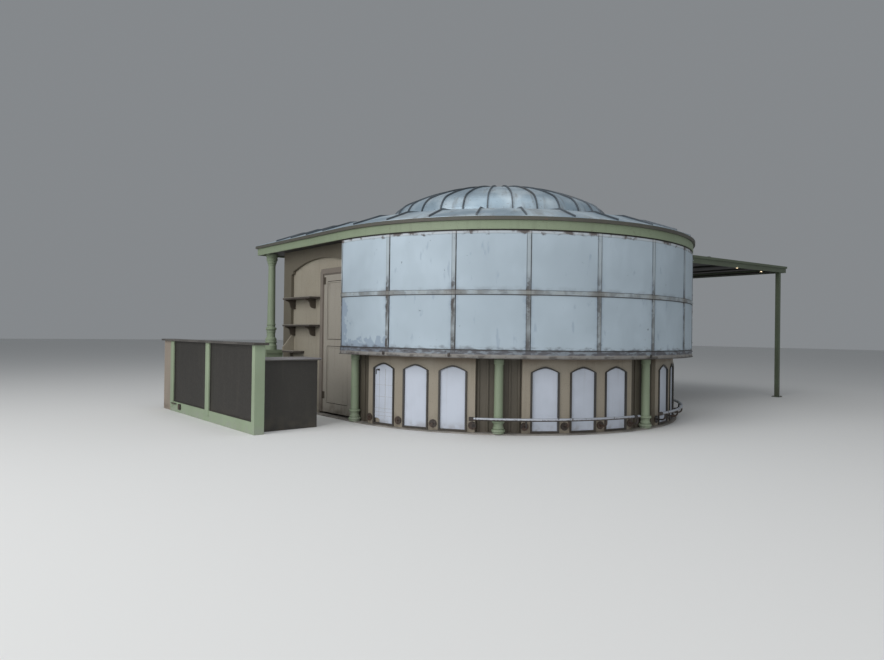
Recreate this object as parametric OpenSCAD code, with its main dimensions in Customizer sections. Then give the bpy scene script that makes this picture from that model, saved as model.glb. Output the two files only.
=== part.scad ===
// Round park kiosk: a domed roof on green columns, a drum of steel sheets over a low arcaded wall,
// a straight-sided rear with a door and shelves, a canopy at the right and an outdoor bar at the left.
// The origin is the centre of the round front, on the ground. The front faces -Y.

/* [Plan] */
// Radius of the wall face round the front
wall_r = 2845; // [2500:5:3100]
// Thickness of the walls
wall_t = 100; // [80:5:160]
// Distance from the centre to the face of the rear wall
rear_y = 2250; // [2150:10:2600]
// How far the fascia stands out past the wall face
eave_out = 275; // [200:5:400]
// Depth of the open bay behind the rear wall, up to the fascia
porch_d = 450; // [350:10:700]
// Thickness of the floor slab
floor_t = 40; // [30:5:100]

/* [Low wall] */
// Height of the plinth under the walls
plinth_h = 15; // [10:1:18]
// How far the plinth stands out past the wall face
plinth_out = 60; // [20:5:100]
// Height of the arcaded wall under the drum
low_h = 960; // [900:5:1100]
// Thickness of the sill on the arcaded wall
sill_t = 40; // [25:5:60]
// Width of each bay of arcaded wall, in degrees
bay_deg = 33; // [30:0.5:35]
// Angle between neighbouring arches
arch_pitch = 10.55; // [10:0.05:10.9]
// Width of an arched panel
arch_w = 335; // [280:5:380]
// Height of the foot of an arched panel
arch_z0 = 45; // [42:1:120]
// Height where the arch springs
arch_spring = 790; // [700:5:820]
// Rise of the arch over its springing
arch_rise = 55; // [40:5:80]
// Width of the dark frame round an arched panel
frame_w = 22; // [12:1:35]
// How far the dark frame stands out of the wall
frame_out = 10; // [5:1:20]
// Depth of the pocket that holds the arched panel
pocket_d = 30; // [20:1:50]
// Thickness of an arched panel
panel_t = 16; // [8:1:20]
// Width of the corner that the first panel has lost
lost_w = 90; // [40:5:120]
// Height of the corner that the first panel has lost
lost_h = 60; // [30:5:100]

/* [Columns] */
// Radius of a column's shaft at its foot
col_r = 58; // [45:1:75]
// Radius of a column's shaft under its capital
col_top_r = 50; // [40:1:60]
// Radius of a column's base and capital
col_base_r = 74; // [65:1:80]
// Height of a column's base
col_base_h = 140; // [100:2:200]
// Height of a column's capital
col_cap_h = 150; // [100:2:220]
// Height of the collar on a front column, just under the sill
collar_h = 70; // [50:2:90]
// How far the collar stands out of the shaft
collar_out = 9; // [5:1:12]
// Radius of a rear column's shaft at its foot
rear_col_r = 68; // [55:1:80]
// Radius of a rear column's base and capital
rear_base_r = 100; // [85:1:115]
// Height of a rear column's turned base
rear_base_h = 330; // [250:5:400]
// Height of the pedestals under the two rear columns
ped_h = 955; // [700:5:1050]
// Width of the pedestals
ped_w = 300; // [240:5:360]
// Height of the base block at the foot of a pedestal
ped_foot = 90; // [50:5:150]

/* [Eaves] */
// Height of the underside of the fascia
eave_z = 2567; // [2450:1:2700]
// Height of the fascia board
fascia_h = 111; // [80:1:160]
// Thickness of the fascia board
fascia_t = 25; // [18:1:40]
// Height of the zinc edge over the fascia
edge_h = 45; // [30:1:70]
// How far the zinc edge stands out of the fascia
edge_out = 28; // [10:1:50]
// Thickness of the soffit
soffit_t = 16; // [10:1:30]

/* [Roof] */
// Run of the steep skirt, from the edge to the crest
skirt_run = 480; // [350:10:560]
// Rise of the steep skirt
skirt_rise = 185; // [120:5:240]
// Thickness of the roof boards
roof_t = 22; // [15:1:40]
// Slope of the deck between the crest and the dome, in degrees
deck_slope = 8; // [5:0.5:9]
// Radius of the dome at its foot
dome_r = 1840; // [1600:2:1960]
// Height of the dome's top over the crest
dome_h = 800; // [740:5:900]
// Radius of the dome's curved shell
shell_r = 3770; // [3000:10:3800]
// Radius of the rounded shoulder between the foot and the shell
shoulder_r = 360; // [300:5:520]
// Thickness of the dome's shell
shell_t = 40; // [25:1:60]
// Angle between neighbouring standing seams on the skirt
seam_deg = 11.25; // [5.625:5.625:22.5]
// Distance between neighbouring standing seams on the straight sides
side_seam = 490; // [400:10:560]
// Angle between neighbouring standing seams on the dome
dome_deg = 11.25; // [5.625:5.625:22.5]
// Radius of the plate at the dome's top
cap_r = 160; // [120:10:240]
// Width of a standing seam
seam_w = 16; // [10:1:24]
// Height of a standing seam
seam_h = 24; // [15:1:35]

/* [Drum] */
// Height of the lower edge of the sheet drum
drum_z0 = 969; // [940:1:1050]
// Height of the lower edge of the middle rail
drum_mid = 1760; // [1600:5:1850]
// Height of the middle rail
rail_h = 54; // [40:1:70]
// Height of the bottom rail
foot_rail_h = 106; // [60:1:130]
// Gap between the drum's top and the fascia
drum_gap = 20; // [10:1:40]
// Thickness of the sheets
sheet_t = 12; // [6:1:16]
// Width of one sheet, in degrees
sheet_deg = 17.14; // [16.4:0.01:17.9]
// Width of a cover strip
strip_w = 50; // [35:1:70]
// Thickness of the strips and rails
strip_t = 9; // [5:1:12]
// How far the bottom rail's lower flange stands out
lip_out = 14; // [6:1:20]
// Thickness of the bottom rail's lower flange
lip_t = 8; // [5:1:12]

/* [Side walls] */
// Distance along the wall from the centre line to the arch
arch_y0 = 100; // [95:5:120]
// Clear width of the blind arch
blind_w = 1890; // [1800:10:2000]
// Height where the blind arch springs
blind_spring = 2210; // [2150:5:2260]
// Rise of the blind arch
blind_rise = 210; // [150:5:240]
// Width of the shoulder where the blind arch springs
shoulder_w = 60; // [30:5:90]
// Thickness of the surround round the blind arch
surround_t = 50; // [30:5:80]

/* [Door] */
// Width of the door leaf
door_w = 800; // [700:10:850]
// Height of the door leaf
door_h = 2100; // [1950:10:2110]
// Thickness of the door leaf
door_t = 40; // [30:1:50]
// Width of the door's architrave
jamb_w = 95; // [70:5:100]
// How far the architrave stands out of the wall
casing_out = 15; // [8:1:25]
// Radius of the architrave's upper corners
casing_r = 75; // [30:5:90]
// Gap between the door leaf and its frame
door_gap = 5; // [5:1:8]
// Width of the leaf's stiles and rails
stile_w = 95; // [70:5:120]
// Height of the leaf's middle rail over the floor
mid_rail_z = 1060; // [900:10:1150]

/* [Shelves] */
// Height of the top of the upper shelf
shelf_1_z = 1815; // [1700:5:1900]
// Height of the top of the lower shelf
shelf_2_z = 1380; // [1250:5:1450]
// Height of the top of the ledge
ledge_z = 955; // [900:5:1000]
// Width of the ledge
ledge_w = 380; // [250:10:500]
// How far a shelf stands out of the surround
shelf_d = 150; // [100:5:200]
// Thickness of a shelf
shelf_t = 26; // [18:1:40]
// Thickness of the curved cheek over the ledge
cheek_t = 30; // [20:1:50]

/* [Canopy] */
// Distance from the centre to the canopy's far end
canopy_x = 6880; // [6000:10:7200]
// Half the width of the canopy
canopy_half = 2000; // [1600:10:2200]
// Slope of the canopy, rising outwards, in degrees
canopy_slope = 1.6; // [0:0.1:3]
// Height of the canopy's fascia
canopy_fascia = 135; // [100:5:180]
// Height of the canopy's fascia foot where it meets the building
canopy_z = 2590; // [2540:1:2640]
// Thickness of the canopy's roof
canopy_t = 40; // [20:1:60]
// Thickness of the canopy's fascia board
board_t = 25; // [18:1:40]
// Height of the lip along the top of the canopy's fascia
canopy_lip = 45; // [30:1:60]
// How far the lip stands out of the canopy's fascia
lip_step = 20; // [10:1:40]
// Size of the canopy's square posts
post_w = 80; // [60:1:120]
// Distance between a post and the canopy's far end
post_in = 220; // [100:10:900]

/* [Foot rail] */
// Height of the foot rail's axis
foot_z = 205; // [150:5:260]
// Radius of the foot rail's tube
foot_tube = 20; // [15:1:26]
// Distance between the wall face and the foot rail's axis
foot_off = 135; // [100:5:190]
// Height of the axis of the wall flanges that carry the foot rail
flange_z = 105; // [90:5:125]
// Radius of a wall flange
flange_r = 52; // [35:1:60]
// Thickness of a wall flange
flange_t = 12; // [8:1:16]
// Radius of a bracket's arm
arm_r = 12; // [8:1:16]
// Radius of the bend in a bracket's arm
bend_r = 50; // [30:1:56]

/* [Outdoor bar] */
// Distance from the centre to the outer face of the long bar
bar_x = 4500; // [4300:10:4800]
// Length of the long bar
bar_len = 3430; // [3000:10:4000]
// Height of the long bar
bar_h = 1125; // [1000:5:1200]
// Depth of the long bar's frame
bar_d = 130; // [100:5:200]
// Distance from the centre line to the long bar's near end
bar_y0 = 305; // [200:5:600]
// Width of the bar's posts
bar_post = 85; // [60:5:120]
// Height of the bar's foot rail board
bar_rail = 150; // [100:5:200]
// Length of the pier at the bar's far end
bar_pier_len = 340; // [250:10:450]
// Thickness of the bar tops
top_t = 28; // [20:1:50]
// How far a bar top stands out past its frame
top_out = 35; // [20:5:60]
// Length of the low counter
low_bar_len = 830; // [600:10:860]
// Height of the low counter
low_bar_h = 920; // [850:5:1000]
// Depth of the low counter
low_bar_d = 420; // [350:5:500]
// Distance from the long bar's near end to the low counter's front
low_bar_in = 175; // [120:5:250]

/* [Hidden] */
$fn = 180;

sage = [0.45, 0.55, 0.43];
beige = [0.66, 0.60, 0.49];
brown = [0.23, 0.18, 0.14];
white = [0.87, 0.88, 0.90];
steel = [0.62, 0.67, 0.72];
zinc = [0.55, 0.60, 0.66];
concrete = [0.55, 0.53, 0.50];

fascia_r = wall_r + eave_out;
edge_r = fascia_r + edge_out;
fascia_y = rear_y + porch_d;
edge_y = fascia_y + edge_out;
mitre = edge_y - edge_r;
edge_z = eave_z + fascia_h;
roof_z = edge_z + edge_h;
crest_r = edge_r - skirt_run;
crest_y = edge_y - skirt_run;
crest_z = roof_z + skirt_rise;
soffit_z = eave_z + 25;
inner_r = wall_r - wall_t;
col_axis = wall_r + 14;
bays = 4;
slab_r = wall_r - wall_t - surround_t;
slab_y = rear_y - wall_t;
bay_pitch = 180 / bays;
far = 9000;
seat = 0.3;
seat_deg = seat / inner_r * 180 / PI;
deck_rise = tan(deck_slope);
shell_z = crest_z + dome_h - shell_r;
shoulder_x = dome_r - shoulder_r;
shoulder_z = shell_z + sqrt((shell_r - shoulder_r) * (shell_r - shoulder_r) - shoulder_x * shoulder_x);
meet_a = atan2(shoulder_z - shell_z, shoulder_x);
drum_r = fascia_r - 10;
drum_top = eave_z - drum_gap;
door_y0 = arch_y0 + jamb_w + door_gap;
door_y1 = door_y0 + door_w;
door_x = -(wall_r - surround_t);
door_z0 = floor_t + door_gap;
hinge_r = 8;
hinge_x = door_x - hinge_r - 0.5;
rail_spans = [[-51, -6], [4.5, 50], [54, 84]];
bar_run = bar_len - bar_pier_len;
bar_ys = [for (i = [0 : 2]) -bar_y0 + i * (bar_run - bar_post) / 2];
ped_x = wall_r + 70;
ped_y = fascia_y - fascia_t - rear_base_r - 5;
canopy_run = (canopy_x - fascia_r) / cos(canopy_slope);

// Part of a round wall between two radii, two heights and two angles from the front (-Y) towards +X
module arc_wall(r0, r1, z0, z1, a0, a1) {
    rotate([0, 0, a0 - 90]) rotate_extrude(angle = a1 - a0) translate([r0, z0]) square([r1 - r0, z1 - z0]);
}

// Places a child at an angle from the front, its local +X pointing outwards
module at_angle(a) {
    rotate([0, 0, a - 90]) children();
}

// A profile of radius and height, swept round the front half of the plan
module sweep_front() {
    rotate([0, 0, 180]) rotate_extrude(angle = 180) children();
}

// Keeps what lies on the right-hand side of the plan, in front of the hip line at the rear corner
module side_part() {
    difference() {
        children();
        translate([0, 0, -10]) linear_extrude(far) {
            polygon([[0, mitre], [far, far + mitre], [0, far + mitre]]);
        }
    }
}

// Keeps what lies behind both hip lines
module rear_part() {
    intersection() {
        children();
        translate([0, 0, -10]) linear_extrude(far) {
            polygon([[0, mitre], [far, far + mitre], [-far, far + mitre]]);
        }
    }
}

// The same profile along both straight sides, mitred at the rear corners
module sweep_sides() {
    for (side = [0, 1]) mirror([side, 0, 0]) side_part() {
        translate([0, edge_y, 0]) rotate([90, 0, 0]) linear_extrude(edge_y) children();
    }
}

// The same profile along the rear, mitred at both corners
module sweep_rear() {
    rear_part() translate([-edge_r, mitre, 0]) rotate([90, 0, 90]) linear_extrude(2 * edge_r) children();
}

// Plan with a round front of radius r and straight sides up to the rear at y
module plan(r, y) {
    intersection() {
        circle(r = r);
        translate([-far, -far]) square([2 * far, far]);
    }
    translate([-r, 0]) square([2 * r, y]);
}

module floor_slab() {
    color(concrete) linear_extrude(floor_t) plan(slab_r, slab_y);
}

module plinth() {
    color(concrete) linear_extrude(plinth_h) difference() {
        plan(wall_r + plinth_out, rear_y + plinth_out);
        plan(slab_r, slab_y);
    }
}

// Points of a circular arc, from angle a0 to a1 in n steps
function arc_points(cx, cy, r, a0, a1, n) =
    [for (i = [0 : n]) let (a = a0 + (a1 - a0) * i / n) [cx + r * cos(a), cy + r * sin(a)]];

// Outline of an arched panel with a low pointed top, grown by a margin
module arch_outline(grow) {
    half = arch_w / 2 + grow;
    rise = arch_rise + grow;
    top = [for (i = [-8 : 8]) let (t = -i / 8) [half * t, arch_spring + rise * (1 - pow(abs(t), 1.5))]];
    polygon(concat([[-half, arch_z0 - grow], [half, arch_z0 - grow]], top));
}

// Stands an outline upright, facing outwards, with a given depth
module upright(depth) {
    rotate([90, 0, 90]) linear_extrude(depth) children();
}

// Places a child at every arch of every bay
module each_arch() {
    for (i = [0 : bays - 1], k = [-1, 0, 1]) {
        at_angle(-90 + bay_pitch * (i + 0.5) + k * arch_pitch) children();
    }
}

module bay_wall(i) {
    mid = -90 + bay_pitch * (i + 0.5);
    color(beige) difference() {
        arc_wall(inner_r, wall_r, plinth_h, low_h, mid - bay_deg / 2, mid + bay_deg / 2);
        for (k = [-1, 0, 1]) at_angle(mid + k * arch_pitch) {
            translate([wall_r - pocket_d, 0, 0]) upright(pocket_d + 50) arch_outline(frame_w);
        }
    }
}

module arch_frames() {
    color(brown) each_arch() translate([wall_r - pocket_d, 0, 0]) {
        upright(pocket_d + frame_out) difference() {
            arch_outline(frame_w);
            arch_outline(0);
        }
    }
}

// The first panel has lost its lower corner
module arch_panels() {
    color(white) difference() {
        each_arch() translate([wall_r - pocket_d, 0, 0]) upright(panel_t) arch_outline(0);
        at_angle(-90 + bay_pitch / 2 - arch_pitch) translate([wall_r - pocket_d - 1, -arch_w / 2, arch_z0]) {
            upright(panel_t + 2) {
                polygon([[-1, -1], [lost_w, -1], [lost_w, lost_h * 0.7], [lost_w * 0.6, lost_h],
                    [-1, lost_h]]);
            }
        }
    }
}

module pier_backs() {
    half = (bay_pitch - bay_deg) / 2;
    r = col_axis - col_base_r - 1;
    color(brown) {
        for (i = [0 : bays]) {
            a = -90 + bay_pitch * i;
            a0 = i == 0 ? a + 2 * seat_deg : a - half + seat_deg;
            a1 = i == bays ? a - 2 * seat_deg : a + half - seat_deg;
            arc_wall(inner_r, r, plinth_h, low_h, a0, a1);
        }
        for (side = [0, 1]) mirror([side, 0, 0]) {
            translate([inner_r, 0, plinth_h]) cube([r - inner_r, arch_y0, soffit_z - plinth_h]);
        }
    }
}

module sill() {
    color(brown) difference() {
        arc_wall(inner_r - 150, wall_r + 20, low_h, low_h + sill_t, -90, 90);
        for (i = [0 : bays]) at_angle(-90 + bay_pitch * i) {
            translate([col_axis, 0, low_h - 1]) cylinder(r = col_r, h = sill_t + 2);
        }
    }
}

// Half section of a turned column: moulded base, tapered shaft with collars at given heights, ringed capital
module column_profile(len, r0, r1, rb, hb, collars) {
    cap = len - col_cap_h;
    rings = [for (z = collars, p = [[0, 0], [1, 8], [1, collar_h - 8], [0, collar_h]])
        [r0 + (r1 - r0) * (z + p[1] - hb) / (cap - hb) + p[0] * collar_out, z + p[1]]];
    foot = [[0, 0], [rb, 0], [rb, hb * 0.2], [rb * 0.88, hb * 0.3], [rb * 0.88, hb * 0.4],
        [rb * 0.94, hb * 0.46], [rb * 0.94, hb * 0.56], [r0 * 1.04, hb * 0.66], [r0 * 1.04, hb * 0.86],
        [r0 * 1.12, hb * 0.9], [r0 * 1.12, hb], [r0, hb]];
    head = [[r1, cap], [r1 * 1.2, cap], [r1 * 1.2, cap + 18], [r1 * 1.02, cap + 26], [r1 * 1.02, cap + 62],
        [rb * 0.9, cap + 92], [rb, cap + 104], [rb, len], [0, len]];
    polygon(concat(foot, rings, head));
}

module column(z0, z1, r0, r1, rb, hb, collars) {
    translate([0, 0, z0]) rotate_extrude() column_profile(z1 - z0, r0, r1, rb, hb, collars);
}

module columns() {
    color(sage) for (i = [0 : bays]) at_angle(-90 + bay_pitch * i) translate([col_axis, 0, 0]) {
        collar = low_h - plinth_h - collar_h - 5;
        column(plinth_h, soffit_z, col_r, col_top_r, col_base_r, col_base_h, [collar]);
    }
}

module pedestals() {
    color(sage) for (side = [-1, 1], step = [[0, 0, ped_h], [15, 0, ped_foot], [15, ped_h - 60, 60]]) {
        half = ped_w / 2 + step[0];
        translate([side * ped_x - half, ped_y - half, step[1]]) cube([2 * half, 2 * half, step[2]]);
    }
}

module rear_columns() {
    color(sage) for (side = [-1, 1]) translate([side * ped_x, ped_y, 0]) {
        column(ped_h, soffit_z, rear_col_r, rear_col_r - 10, rear_base_r, rear_base_h, []);
    }
}

// Outline of the blind arch in a side wall
module blind_outline() {
    half = blind_w / 2;
    bow = half - shoulder_w;
    rise = blind_rise - 50;
    r = (bow * bow + rise * rise) / (2 * rise);
    a = asin(bow / r);
    jambs = [[-half, blind_spring], [-half, plinth_h - 1], [half, plinth_h - 1], [half, blind_spring]];
    arc = arc_points(0, blind_spring + blind_rise - r, r, 90 - a, 90 + a, 20);
    translate([arch_y0 + half, 0]) {
        polygon(concat(jambs, [[bow, blind_spring + 15]], arc, [[-bow, blind_spring + 15]]));
    }
}

// The raised surround on the face of a side wall
module surround() {
    translate([wall_r - surround_t, 0, 0]) rotate([90, 0, 90]) linear_extrude(surround_t) difference() {
        translate([arch_y0, plinth_h]) square([rear_y - arch_y0, soffit_z - plinth_h]);
        blind_outline();
    }
}

module wall_surrounds() {
    color(beige) {
        surround();
        mirror([1, 0, 0]) surround();
    }
}

module left_wall() {
    y0 = door_y1 + door_gap + jamb_w;
    color(beige) {
        translate([door_x, y0, plinth_h]) cube([wall_t, rear_y - y0, soffit_z - plinth_h]);
        translate([door_x, arch_y0 + blind_w, ledge_z]) rotate([90, 0, 0]) {
            linear_extrude(cheek_t) cheek_outline();
        }
    }
}

// Outline of the cheek over the ledge: full depth at its foot, then an S curve back to the wall
module cheek_outline() {
    reach = shelf_d + surround_t;
    rise = shelf_2_z - shelf_t - ledge_z;
    curve = [for (i = [0 : 12]) let (t = i / 12) [-reach * (1 - t) - reach * sin(360 * t) / 12,
        rise * (0.15 + 0.6 * (t - sin(360 * t) / 10))]];
    polygon(concat([[0, 0], [-reach, 0]], curve));
}

module left_door_head() {
    y1 = door_y1 + door_gap + jamb_w;
    z0 = door_z0 + door_h + door_gap + jamb_w;
    color(beige) translate([door_x, arch_y0, z0]) cube([wall_t, y1 - arch_y0, soffit_z - z0]);
}

module right_wall() {
    color(beige) translate([-door_x - wall_t, arch_y0, plinth_h]) {
        cube([wall_t, rear_y - arch_y0, soffit_z - plinth_h]);
    }
}

module rear_wall() {
    x1 = -door_x - wall_t;
    color(beige) translate([-x1, rear_y - wall_t, plinth_h]) cube([2 * x1, wall_t, soffit_z - plinth_h]);
}

module soffit() {
    color(brown) translate([0, 0, soffit_z]) linear_extrude(soffit_t) difference() {
        plan(fascia_r - fascia_t, fascia_y - fascia_t);
        plan(slab_r - 20, slab_y);
    }
}

module fascia_front() {
    color(sage) arc_wall(fascia_r - fascia_t, fascia_r, eave_z, edge_z, -90, 90);
}

module fascia_rear() {
    color(sage) translate([0, 0, eave_z]) linear_extrude(fascia_h) difference() {
        translate([-fascia_r, 0]) square([2 * fascia_r, fascia_y]);
        translate([-(fascia_r - fascia_t), -1]) square([2 * (fascia_r - fascia_t), fascia_y - fascia_t + 1]);
    }
}

module edge_profile() {
    translate([fascia_r - 60, edge_z]) square([60 + edge_out, edge_h]);
}

module roof_edge() {
    color(zinc) {
        sweep_front() edge_profile();
        sweep_sides() edge_profile();
        sweep_rear() edge_profile();
    }
}

module skirt_profile() {
    polygon([[edge_r, roof_z], [edge_r, roof_z + 4], [crest_r, crest_z], [crest_r, crest_z - roof_t],
        [edge_r - 60, roof_z]]);
}

module skirt_front() {
    color(zinc) sweep_front() skirt_profile();
}

module skirt_rear() {
    color(zinc) {
        sweep_sides() skirt_profile();
        sweep_rear() skirt_profile();
    }
}

module deck_profile() {
    top = crest_z + crest_r * deck_rise;
    polygon([[crest_r, crest_z], [0, top], [0, top - roof_t], [crest_r, crest_z - roof_t]]);
}

module roof_deck() {
    color(zinc) difference() {
        union() {
            sweep_front() deck_profile();
            sweep_sides() deck_profile();
            sweep_rear() deck_profile();
        }
        translate([0, 0, crest_z - 200]) cylinder(r = dome_r, h = 900);
    }
}

// Half section of the dome down to a height, grown outwards by a margin
module dome_profile(grow, z0) {
    foot = arc_points(shoulder_x, shoulder_z, shoulder_r + grow, 0, meet_a, 8);
    shell = arc_points(0, shell_z, shell_r + grow, meet_a, 90, 16);
    polygon(concat([[0, z0], [dome_r + grow, z0]], foot, [for (i = [1 : 16]) shell[i]]));
}

module roof_dome() {
    top = shell_z + shell_r;
    color(zinc) {
        rotate_extrude() difference() {
            dome_profile(0, crest_z - 40);
            dome_profile(-shell_t, crest_z - 41);
        }
        translate([0, 0, top - 20]) cylinder(r = cap_r, h = 50);
    }
}

// Height of the deck over the crest where it meets the dome, at an angle from the front
function deck_at(a) =
    let (x = dome_r * abs(sin(a)), y = -dome_r * cos(a))
    deck_rise * (y < 0 ? crest_r - dome_r : min(crest_r - x, crest_y - y));

// A standing seam's outline on the dome, starting at a height over the crest
module dome_seam_profile(foot) {
    difference() {
        dome_profile(seam_h, crest_z - 50);
        dome_profile(seat, crest_z - 51);
        translate([-1, crest_z - 52]) square([cap_r + 1, 3000]);
        translate([-1, crest_z - 52]) square([2 * dome_r, foot + 52]);
    }
}

// A standing seam's outline from the eaves to the foot of the dome
module seam_profile() {
    rise = (crest_r - dome_r) * deck_rise;
    line = [[edge_r - 10, roof_z + 8], [crest_r, crest_z], [dome_r + seat, crest_z + rise]];
    polygon(concat([for (p = line) p + [0, seat]], [for (i = [2, 1, 0]) line[i] + [0, seam_h]]));
}

module roof_seams() {
    rows = floor((crest_r + mitre) / side_seam);
    half = floor(crest_r / side_seam);
    color(zinc) {
        for (a = [dome_deg / 2 : dome_deg : 359]) at_angle(a) seam_plate() dome_seam_profile(deck_at(a) + seam_h + 2);
        for (a = [seam_deg / 2 - 90 : seam_deg : 90]) at_angle(a) seam_plate() seam_profile();
        for (side = [0, 1], i = [1 : rows]) mirror([side, 0, 0]) side_part() {
            translate([0, i * side_seam, 0]) seam_plate() seam_profile();
        }
        for (i = [-half : half]) rear_part() difference() {
            translate([i * side_seam, mitre, 0]) rotate([0, 0, 90]) seam_plate() seam_profile();
            cylinder(r = dome_r, h = far);
        }
    }
}

// Stands a seam's outline upright and gives it its thickness
module seam_plate() {
    rotate([90, 0, 0]) translate([0, 0, -seam_w / 2]) linear_extrude(seam_w) children();
}

module sheet_row(z0, z1) {
    full = floor(180 / sheet_deg);
    for (i = [0 : full]) {
        a0 = -90 + i * sheet_deg;
        a1 = min(a0 + sheet_deg, 90);
        arc_wall(drum_r - sheet_t, drum_r, z0, z1, a0 + 0.03, a1 - 0.03);
    }
}

module drum_sheets() {
    joint = drum_mid + rail_h / 2;
    color(steel) {
        sheet_row(joint + 2, drum_top);
        sheet_row(drum_z0, joint - 2);
        for (side = [-1, 1]) {
            inner = col_axis + col_base_r + 2;
            run = drum_r - sheet_t - inner - 2;
            translate([side * (inner + run / 2) - run / 2, -sheet_t, drum_z0]) {
                cube([run, sheet_t, drum_top - drum_z0]);
            }
        }
    }
}

module cover_strips() {
    half = strip_w / drum_r * 90 / PI;
    color(steel) for (i = [1 : floor(180 / sheet_deg)]) {
        a = -90 + i * sheet_deg;
        arc_wall(drum_r + seat, drum_r + strip_t, drum_mid + rail_h, drum_top, a - half, a + half);
        arc_wall(drum_r + seat, drum_r + strip_t, drum_z0 + foot_rail_h, drum_mid, a - half, a + half);
    }
}

module drum_rails() {
    color(steel) {
        arc_wall(drum_r + seat, drum_r + strip_t, drum_mid, drum_mid + rail_h, -90, 90);
        rotate([0, 0, 180]) rotate_extrude(angle = 180) translate([drum_r, drum_z0]) {
            polygon([[seat, 0], [strip_t + lip_out, 0], [strip_t + lip_out, lip_t], [strip_t, lip_t],
                [strip_t, foot_rail_h], [seat, foot_rail_h]]);
        }
        arc_wall(drum_r - sheet_t - 8, drum_r - 3, drum_top, eave_z, -90, 90);
    }
}

// Outline of the door frame, with round upper corners, less its opening grown by a margin
module casing_outline(margin) {
    w = door_w + 2 * door_gap;
    top = door_z0 + door_h + door_gap;
    r = casing_r;
    difference() {
        intersection() {
            polygon(concat([[-jamb_w, floor_t], [w + jamb_w, floor_t]],
                arc_points(w + jamb_w - r, top + jamb_w - r, r, 0, 90, 8),
                arc_points(r - jamb_w, top + jamb_w - r, r, 90, 180, 8)));
            translate([-arch_y0 - jamb_w, 0]) blind_outline();
        }
        translate([-margin, floor_t - 1]) square([w + 2 * margin, top + margin - floor_t + 1]);
    }
}

module door_frame() {
    w = door_w + 2 * door_gap + 2 * jamb_w;
    top = door_z0 + door_h + door_gap;
    color(beige) {
        difference() {
            translate([door_x, arch_y0, floor_t]) cube([wall_t, w, top + jamb_w - floor_t]);
            translate([door_x - 1, arch_y0 + jamb_w, floor_t - 1]) {
                cube([wall_t + 2, w - 2 * jamb_w, top - floor_t + 1]);
            }
        }
        translate([door_x - casing_out, arch_y0 + jamb_w, 0]) {
            upright(casing_out) casing_outline(2 * hinge_r);
        }
    }
}

module door_leaf() {
    panel_w = door_w - 2 * stile_w;
    spans = [[door_z0 + 140, mid_rail_z], [mid_rail_z + stile_w, door_z0 + door_h - stile_w]];
    color(beige) difference() {
        translate([door_x, door_y0, door_z0]) cube([door_t, door_w, door_h]);
        for (s = spans) translate([door_x - 1, door_y0 + stile_w, s[0]]) cube([13, panel_w, s[1] - s[0]]);
    }
}

module door_hinges() {
    color(brown) for (z = [door_z0 + 200, door_z0 + door_h - 140]) {
        translate([hinge_x, door_y1 + door_gap / 2, z]) cylinder(r = hinge_r, h = 110);
        translate([door_x - 4, door_y1 - 48, z]) cube([4, 48, 110]);
    }
}

module shelf(y0, y1, z) {
    translate([-wall_r - shelf_d, y0, z - shelf_t]) cube([shelf_d + surround_t, y1 - y0, shelf_t]);
}

module shelves() {
    y0 = door_y1 + door_gap + jamb_w;
    y1 = arch_y0 + blind_w;
    color(brown) {
        shelf(y0, y1, shelf_1_z);
        shelf(y0, y1, shelf_2_z);
        shelf(y1 - ledge_w, y1, ledge_z);
    }
}

// Side of a bracket that hangs from its top edge and leans on the wall at x = 0, its underside an S curve
module ogee(reach, nose, drop) {
    curve = [for (i = [0 : 12]) let (t = i / 12) [-reach + (reach - 22) * (t + sin(360 * t) / 9),
        -nose - (drop - nose) * (t - sin(360 * t) / 9)]];
    polygon(concat([[0, -drop], [0, 0], [-reach, 0]], curve));
}

module shelf_brackets() {
    y0 = door_y1 + door_gap + jamb_w;
    y1 = arch_y0 + blind_w;
    reach = shelf_d + surround_t - 20;
    color(brown) for (z = [shelf_1_z, shelf_2_z], y = [y0 + 170, y1 - 60]) {
        translate([door_x, y + 12, z - shelf_t]) rotate([90, 0, 0]) linear_extrude(24) ogee(reach, 20, 150);
    }
}

// Cuts the building's fascia and roof edge out of whatever meets them
module outside() {
    difference() {
        children();
        translate([0, 0, -1]) cylinder(r = fascia_r, h = edge_z + 1, $fn = 360);
        translate([0, 0, edge_z]) cylinder(r = edge_r, h = far / 2, $fn = 360);
        translate([-far, 0, -1]) cube([far + fascia_r, far, edge_z + 1]);
        translate([-far, 0, edge_z]) cube([far + edge_r, far, far / 2]);
    }
}

// Tilts the canopy about its line on the fascia
module on_slope() {
    translate([fascia_r, 0, canopy_z]) rotate([0, -canopy_slope, 0]) children();
}

module canopy_roof() {
    color(brown) outside() on_slope() translate([-1200, -canopy_half, canopy_fascia - canopy_t]) {
        cube([canopy_run + 1200, 2 * canopy_half, canopy_t]);
    }
}

module canopy_fascia() {
    color(sage) outside() on_slope() difference() {
        for (step = [[0, 0], [lip_step, canopy_fascia - canopy_lip]]) {
            out = board_t + step[0];
            translate([-1200, -canopy_half - out, step[1]]) {
                cube([canopy_run + out + 1200, 2 * (canopy_half + out), canopy_fascia - step[1]]);
            }
        }
        translate([-1201, -canopy_half, -1]) cube([canopy_run + 1201, 2 * canopy_half, canopy_fascia + 2]);
    }
}

module canopy_posts() {
    x = canopy_x - post_in;
    y = canopy_half - post_w / 2;
    color(sage) for (side = [-1, 1]) difference() {
        translate([x, side * y, 0]) {
            translate([-post_w / 2, -post_w / 2, 0]) cube([post_w, post_w, canopy_z + 600]);
            translate([-post_w, -post_w, 0]) cube([2 * post_w, 2 * post_w, 12]);
        }
        on_slope() translate([0, -far / 2, canopy_fascia - canopy_t]) cube([far, far, 900]);
    }
}

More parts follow.
